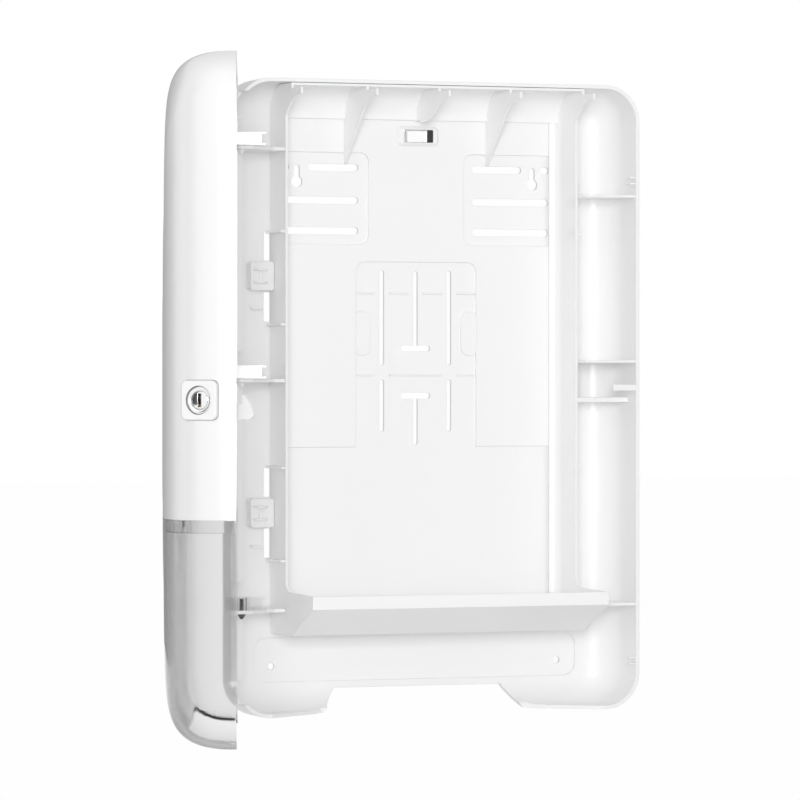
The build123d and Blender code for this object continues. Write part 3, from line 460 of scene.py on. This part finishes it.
VIAL_CLEAR = ClearFinish(
    Surface("vial_clear", (0.98, 0.99, 0.98), (0.94, 0.95, 0.93), 0.08, roughness_spread=0.02,
            corner_dust_and_shade=0.0, grain_height=0.000002, flow_height=0.00001, edge_radius=0.0003),
    tint=(0.86, 0.93, 0.88),
    density=8.0,
)
LOCK_NICKEL = MetalFinish(
    Surface("lock_nickel", (0.93, 0.93, 0.93), (0.40, 0.40, 0.40), 0.10, roughness_spread=0.06,
            corner_dust_and_shade=0.4, drift=0.05, grain_scale=3200.0, grain_height=0.000002,
            flow_height=0.000004, edge_radius=0.0002),
)
# The brass colour is set far darker than real brass to paint the shade inside the keyway, and its
# corner darkening adds more painted shade.
WAFER_BRASS = MetalFinish(
    Surface("wafer_brass", (0.30, 0.25, 0.16), (0.16, 0.13, 0.08), 0.42, roughness_spread=0.16,
            corner_dust_and_shade=0.6, grain_scale=3200.0, grain_height=0.00001, flow_height=0.00001,
            edge_radius=0.0001),
)


class Wardrobe:
    """Builds each finish once and puts it on pieces."""

    def __init__(self) -> None:
        """Build the shared groups."""
        self.groups = ShaderGroups()
        self.made: dict[str, bpy.types.Material] = {}

    def material(self, finish: Finish) -> bpy.types.Material:
        """Give the material of a finish, building it on its first use.

        Args:
            finish: The finish wanted.

        Returns:
            Its material.
        """
        name = finish.surface.name
        if name not in self.made:
            self.made[name] = finish.build(self.groups)
        return self.made[name]

    def dress_node(self, node: str, finish: Finish) -> None:
        """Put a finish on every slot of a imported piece.

        Args:
            node: Name of the piece.
            finish: The finish to use.
        """
        piece = frame["nodes"][node]
        material = self.material(finish)
        if not piece.material_slots:
            piece.data.materials.append(material)
        for slot in piece.material_slots:
            slot.material = material
        LOG.info("dressed %s in %s", node, finish.surface.name)


class MeshPiece:
    """A mesh that is made here and rides on a body."""

    def __init__(self, name: str, body: Body, slot: Slot) -> None:
        """Start an empty mesh.

        Args:
            name: Name of the piece.
            body: Body that it rides on.
            slot: The record's slot for its finish.
        """
        self.name = name
        self.body = body
        self.slot = slot
        self.mesh = bmesh.new()

    def finish(self, material: bpy.types.Material, smooth: bool = True) -> bpy.types.Object:
        """Turn the mesh into an object in the scene.

        Args:
            material: Material of the whole piece.
            smooth: Whether its faces are shaded smooth.

        Returns:
            The object.
        """
        data = bpy.data.meshes.new(self.name)
        bmesh.ops.recalc_face_normals(self.mesh, faces=self.mesh.faces)
        self.mesh.to_mesh(data)
        self.mesh.free()
        for face in data.polygons:
            face.use_smooth = smooth
        data.materials.append(material)
        piece = bpy.data.objects.new(self.name, data)
        bpy.context.scene.collection.objects.link(piece)
        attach(piece, self.body.value)
        LOG.info("made %s with %d faces", self.name, len(data.polygons))
        return piece


@dataclass
class WallHousing:
    """The white housing on the wall and the chute that is set into it."""

    housing: str = "rear_housing"
    chute: str = "towel_chute"
    clips: tuple[str, str] = ("upper_chute_clip", "lower_chute_clip")

    def build(self, wardrobe: Wardrobe) -> None:
        """Dress the housing, the chute and its clips."""
        wardrobe.dress_node(self.housing, HOUSING_WHITE)
        wardrobe.dress_node(self.chute, CHUTE_WHITE)
        for clip in self.clips:
            wardrobe.dress_node(clip, CLIP_WHITE)


@dataclass
class SpiritLevel:
    """The small level in the top of the back panel."""

    vial: str = "level_vial"
    cap: str = "level_end_cap"

    def build(self, wardrobe: Wardrobe) -> None:
        """Dress the vial and its end block."""
        wardrobe.dress_node(self.vial, VIAL_CLEAR)
        wardrobe.dress_node(self.cap, DARK_BLOCK)


@dataclass
class SwingCover:
    """The two-tone cover with its hinge pins."""

    upper: str = "upper_cover"
    window: str = "lower_window"
    pins: tuple[str, str] = ("upper_hinge_pin", "middle_hinge_pin")
    low_pin: str = "lower_hinge_pin"

    def build(self, wardrobe: Wardrobe) -> None:
        """Dress the cover, its window and the three pins."""
        wardrobe.dress_node(self.upper, COVER_WHITE)
        wardrobe.dress_node(self.window, SMOKED_CLEAR)
        for pin in self.pins:
            wardrobe.dress_node(pin, CLIP_WHITE)
        wardrobe.dress_node(self.low_pin, PIN_GREY)


@dataclass
class CamLock:
    """The wafer lock on the free side of the cover, with its turned face. Lengths in metres."""

    bezel: str = "lock_bezel"
    cam: str = "lock_cam"
    metal: tuple[str, ...] = ("lock_barrel", "lock_plug", "lock_nut", "lock_cam_screw")
    wafers: str = "lock_wafers"
    ring_outline: tuple[tuple[float, float], ...] = (
        (0.00890, -0.0002),
        (0.00885, 0.00045),
        (0.00850, 0.00065),
        (0.00790, 0.00070),
        (0.00740, 0.00062),
        (0.00690, 0.00035),
        (0.00650, 0.00008),
        (0.00625, -0.0002),
    )
    round_steps: int = 64
    dome_radius: float = 0.0058
    dome_edge: float = -0.00015
    dome_rise: float = 0.0004
    dome_rings: int = 8
    dome_thickness: float = 0.0001
    keyway: tuple[float, float] = (0.0024, 0.0086)

    def build(self, wardrobe: Wardrobe) -> None:
        """Dress every piece of the lock and add its ring and face."""
        wardrobe.dress_node(self.bezel, BEZEL_WHITE)
        wardrobe.dress_node(self.cam, CLIP_WHITE)
        for node in self.metal:
            wardrobe.dress_node(node, LOCK_NICKEL)
        wardrobe.dress_node(self.wafers, WAFER_BRASS)
        place = self.face_frame()
        self.add_ring(wardrobe, place)
        self.add_dome(wardrobe, place)

    def face_frame(self) -> Matrix:
        """Give the place of the lock's face, with its Z axis along the lock axis.

        Returns:
            The matrix from the face's own axes to the scene.
        """
        joint = next(row for row in frame["joints"] if row["child"] == Body.LOCK_CORE.value)
        axis = Vector(joint["axis"]).normalized()
        barrel = frame["nodes"]["lock_barrel"].data.vertices
        reach = max(vertex.co.dot(axis) for vertex in barrel)
        start = Vector(joint["pos_m"])
        centre = start + axis * (reach - start.dot(axis))
        return Matrix.Translation(centre) @ axis.to_track_quat("Z", "Y").to_matrix().to_4x4()

    def circle(
        self, piece: MeshPiece, place: Matrix, radius: float, height: float
    ) -> list[bmesh.types.BMVert]:
        """Add one circle of points round the lock axis.

        Args:
            piece: The mesh to add to.
            place: Matrix from the face's own axes to the scene.
            radius: Radius of the circle.
            height: How far it stands out of the face.

        Returns:
            The new points in order.
        """
        points = []
        for step in range(self.round_steps):
            turn = 2 * math.pi * step / self.round_steps
            point = Vector((radius * math.cos(turn), radius * math.sin(turn), height))
            points.append(piece.mesh.verts.new(place @ point))
        return points

    def bridge(
        self, piece: MeshPiece, first: list[bmesh.types.BMVert], second: list[bmesh.types.BMVert]
    ) -> None:
        """Join two circles by a band of faces.

        Args:
            piece: The mesh that holds both circles.
            first: One circle.
            second: The other circle.
        """
        for step in range(self.round_steps):
            after = (step + 1) % self.round_steps
            piece.mesh.faces.new((first[step], first[after], second[after], second[step]))

    def add_ring(self, wardrobe: Wardrobe, place: Matrix) -> None:
        """Add the turned ring that stands on the barrel's flange.

        Args:
            wardrobe: Source of the material.
            place: Matrix from the face's own axes to the scene.
        """
        piece = MeshPiece("lock_face_ring", Body.COVER, Slot.LOCK_CHROME)
        circles = [self.circle(piece, place, radius, height) for radius, height in self.ring_outline]
        for first, second in zip(circles, circles[1:] + circles[:1]):
            self.bridge(piece, first, second)
        piece.finish(wardrobe.material(LOCK_NICKEL))

    def add_dome(self, wardrobe: Wardrobe, place: Matrix) -> None:
        """Add the slightly domed face of the plug, cut through at the keyway.

        Args:
            wardrobe: Source of the material.
            place: Matrix from the face's own axes to the scene.
        """
        piece = MeshPiece("lock_face_dome", Body.LOCK_CORE, Slot.LOCK_CHROME)
        own_axes = Matrix.Identity(4)
        circles = []
        for row in range(self.dome_rings, 0, -1):
            share = row / self.dome_rings
            height = self.dome_edge + self.dome_rise * (1 - share * share)
            circles.append(self.circle(piece, own_axes, self.dome_radius * share, height))
        for first, second in zip(circles, circles[1:]):
            self.bridge(piece, first, second)
        piece.mesh.faces.new(circles[-1])
        self.cut_keyway(piece.mesh)
        bmesh.ops.recalc_face_normals(piece.mesh, faces=piece.mesh.faces)
        bmesh.ops.solidify(piece.mesh, geom=piece.mesh.faces[:], thickness=self.dome_thickness)
        piece.mesh.transform(place)
        piece.finish(wardrobe.material(LOCK_NICKEL))

    def cut_keyway(self, mesh: bmesh.types.BMesh) -> None:
        """Cut the keyway out of a face that lies across the Z axis.

        Args:
            mesh: The face's mesh, in the face's own axes.
        """
        across, along = (size / 2 for size in self.keyway)
        cuts = [(Vector((side * across, 0, 0)), Vector((1, 0, 0))) for side in (-1, 1)]
        cuts += [(Vector((0, side * along, 0)), Vector((0, 1, 0))) for side in (-1, 1)]
        for point, normal in cuts:
            everything = mesh.verts[:] + mesh.edges[:] + mesh.faces[:]
            bmesh.ops.bisect_plane(mesh, geom=everything, plane_co=point, plane_no=normal)
        inside = []
        for face in mesh.faces:
            centre = face.calc_center_median()
            if abs(centre.x) < across and abs(centre.y) < along:
                inside.append(face)
        bmesh.ops.delete(mesh, geom=inside, context="FACES")


@dataclass
class Studio:
    """Pale floor, soft lamps and the photograph's camera. Lengths in metres, power in watts.

    Shade cards run between two angles, in degrees left of the view.
    """

    floor_height: float = -0.34
    floor_half: float = 12.0
    floor_glow: float = 0.98
    floor_grey: float = 0.9
    floor_roughness: float = 0.9
    world_strength: float = 0.55
    front_place: tuple[float, float, float] = (-1.35, -3.6, 0.35)
    front_size: float = 0.9
    front_power: float = 56.0
    top_place: tuple[float, float, float] = (-1.5, -1.7, 2.1)
    top_size: float = 1.6
    top_power: float = 5.0
    rear_shade_arc: tuple[float, float] = (7.0, 62.0)
    side_shade_arc: tuple[float, float] = (100.0, 127.0)
    rear_shade_level: float = 0.36
    side_shade_level: float = 0.08
    light_bounces: int = 8
    card_distance: float = 3.0
    card_top: float = 1.6
    turn_degrees: float = 21.0
    distance: float = 3.4
    aim: tuple[float, float, float] = (0.0, -0.0047, 0.0165)
    lens: float = 216.5
    sensor: float = 36.0
    centre_pixels: tuple[float, float] = (416.5, 373.9)

    def build(self) -> None:
        """Make the world, the floor, the lamps and the camera."""
        bpy.context.scene.view_settings.view_transform = "Standard"
        bpy.context.scene.cycles.diffuse_bounces = self.light_bounces
        self.add_world()
        self.add_floor()
        self.add_lamp("front_lamp", self.front_place, self.front_size, self.front_power)
        self.add_lamp("top_lamp", self.top_place, self.top_size, self.top_power)
        self.add_shade_card("rear_shade", self.rear_shade_arc, self.rear_shade_level)
        self.add_shade_card("side_shade", self.side_shade_arc, self.side_shade_level)
        self.add_camera()

    @staticmethod
    def seen_ray(tools: NodeTools) -> bpy.types.NodeSocket:
        """Give 1 for camera, mirror and glass rays and 0 for the rays that light the object.

        Args:
            tools: Tools of the tree to work in.

        Returns:
            The socket with the mask.
        """
        rays = tools.make("ShaderNodeLightPath").outputs
        mirror = tools.value("MAXIMUM", rays["Is Glossy Ray"], rays["Is Transmission Ray"])
        return tools.value("MAXIMUM", rays["Is Camera Ray"], mirror)

    def add_world(self) -> None:
        """White to the eye, and a softer strength for lighting."""
        world = bpy.data.worlds.new("studio")
        world.use_nodes = True
        bpy.context.scene.world = world
        tools = NodeTools(world.node_tree)
        background = world.node_tree.nodes["Background"]
        background.inputs["Color"].default_value = WHITE
        seen = self.seen_ray(tools)
        extra = tools.value("MULTIPLY", seen, 1.0 - self.world_strength)
        tools.join(tools.value("ADD", extra, self.world_strength), background.inputs["Strength"])

    def add_floor(self) -> None:
        """Pale floor that keeps a trace of the object's shadow."""
        data = bpy.data.meshes.new("floor")
        half = self.floor_half
        height = self.floor_height
        turns = ((-1, -1), (1, -1), (1, 1), (-1, 1))
        outline = [(x * half, y * half, height) for x, y in turns]
        data.from_pydata(outline, [], [(0, 1, 2, 3)])
        floor = bpy.data.objects.new("floor", data)
        bpy.context.scene.collection.objects.link(floor)
        material = bpy.data.materials.new("floor_paper")
        material.use_nodes = True
        tools = NodeTools(material.node_tree)
        paper = material.node_tree.nodes["Principled BSDF"]
        paper.inputs["Base Color"].default_value = (*(self.floor_grey,) * 3, 1.0)
        paper.inputs["Roughness"].default_value = self.floor_roughness
        paper.inputs["Specular IOR Level"].default_value = 0.0
        glow = tools.make("ShaderNodeEmission")
        mix = tools.make("ShaderNodeMixShader")
        tools.join(tools.value("MULTIPLY", self.seen_ray(tools), self.floor_glow), mix.inputs[0])
        tools.join(paper.outputs[0], mix.inputs[1])
        tools.join(glow.outputs[0], mix.inputs[2])
        tools.join(mix.outputs[0], material.node_tree.nodes["Material Output"].inputs["Surface"])
        data.materials.append(material)

    def add_shade_card(self, name: str, arc: tuple[float, float], level: float) -> None:
        """Add a grey card that only mirror rays see, which draws the dark edges of glossy faces.

        Args:
            name: Name of the card.
            arc: Degrees left of the view where it starts and ends.
            level: How light it looks.
        """
        turn = math.radians(self.turn_degrees)
        feet = []
        for degrees in arc:
            angle = turn - math.radians(degrees)
            feet.append((math.sin(angle) * self.card_distance, math.cos(angle) * self.card_distance))
        (x0, y0), (x1, y1) = feet
        low, high = self.floor_height, self.card_top
        outline = [(x0, y0, low), (x1, y1, low), (x1, y1, high), (x0, y0, high)]
        data = bpy.data.meshes.new(name)
        data.from_pydata(outline, [], [(0, 1, 2, 3)])
        card = bpy.data.objects.new(name, data)
        bpy.context.scene.collection.objects.link(card)
        card.visible_camera = False
        card.visible_shadow = False
        card.visible_diffuse = False
        card.visible_transmission = False
        material = bpy.data.materials.new(name)
        material.use_nodes = True
        paint = material.node_tree.nodes["Principled BSDF"]
        paint.inputs["Base Color"].default_value = BLACK
        paint.inputs["Specular IOR Level"].default_value = 0.0
        paint.inputs["Emission Color"].default_value = WHITE
        paint.inputs["Emission Strength"].default_value = level
        data.materials.append(material)

    def add_lamp(self, name: str, place: tuple[float, float, float], size: float, power: float) -> None:
        """Add a square soft lamp aimed at the object.

        Args:
            name: Name of the lamp.
            place: Where it stands.
            size: Length of its side.
            power: Its power.
        """
        data = bpy.data.lights.new(name, "AREA")
        data.size = size
        data.energy = power
        lamp = bpy.data.objects.new(name, data)
        lamp.location = place
        aim = Vector(self.aim) - Vector(place)
        lamp.rotation_euler = aim.to_track_quat("-Z", "Y").to_euler()
        bpy.context.scene.collection.objects.link(lamp)

    def add_camera(self) -> None:
        """Level camera at the photograph's angle, shifted to the photograph's framing."""
        turn = math.radians(self.turn_degrees)
        forward = Vector((math.sin(turn), math.cos(turn), 0.0))
        data = bpy.data.cameras.new("photo_camera")
        data.lens = self.lens
        data.sensor_width = self.sensor
        half = FRAME_PIXELS / 2
        data.shift_x = (half - self.centre_pixels[0]) / FRAME_PIXELS
        data.shift_y = (self.centre_pixels[1] - half) / FRAME_PIXELS
        camera = bpy.data.objects.new("photo_camera", data)
        camera.location = Vector(self.aim) - forward * self.distance
        camera.rotation_euler = forward.to_track_quat("-Z", "Y").to_euler()
        bpy.context.scene.collection.objects.link(camera)
        bpy.context.scene.camera = camera


def main() -> None:
    """Build every sub-assembly in order."""
    logging.basicConfig(level=logging.INFO, format="%(name)s: %(message)s")
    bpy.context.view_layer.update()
    wardrobe = Wardrobe()
    for assembly in (WallHousing(), SpiritLevel(), SwingCover(), CamLock()):
        assembly.build(wardrobe)
    Studio().build()
    bpy.context.view_layer.update()


if __name__ == "__main__":
    main()
